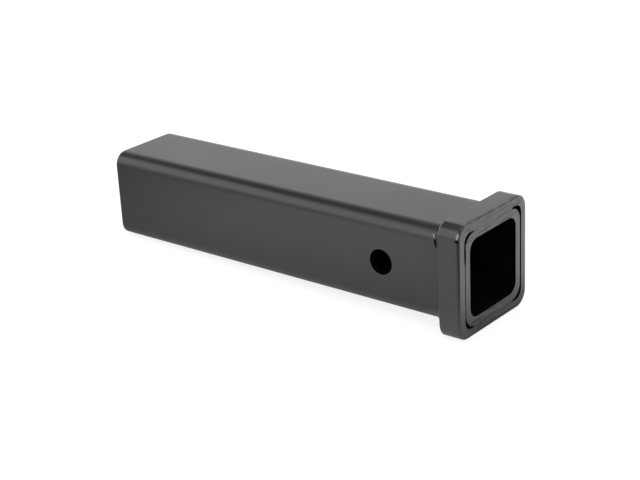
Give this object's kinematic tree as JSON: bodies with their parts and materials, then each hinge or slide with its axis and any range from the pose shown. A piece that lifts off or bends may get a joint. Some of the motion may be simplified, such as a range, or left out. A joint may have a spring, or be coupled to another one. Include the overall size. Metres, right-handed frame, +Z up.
{
  "type": "receiver tube",
  "caption": "Square steel tube that holds a square hitch shank, with a welded square collar round its mouth and a cross hole for the hitch pin.",
  "frame": {"origin": "middle of the hitch pin hole, on the tube's axis", "axes": "+X along the tube and out of its mouth, +Y along the pin hole, +Z up"},
  "size_m": [0.3048, 0.0776, 0.0776],
  "materials": {
    "black_coat": "satin black powder coat over steel, fine orange peel",
    "collar_coat": "satin black powder coat over steel, fine orange peel",
    "ground_weld_coat": "satin black powder coat over a weld ground flush, faint grinding marks",
    "weld_coat": "satin black powder coat over a rippled fillet weld"
  },
  "bodies": {
    "root": {"receiver_tube": "black_coat", "collar": "collar_coat", "front_weld_top": "ground_weld_coat", "front_weld_bottom": "ground_weld_coat", "rear_weld_top": "weld_coat", "rear_weld_bottom": "weld_coat"}
  },
  "joints": []
}
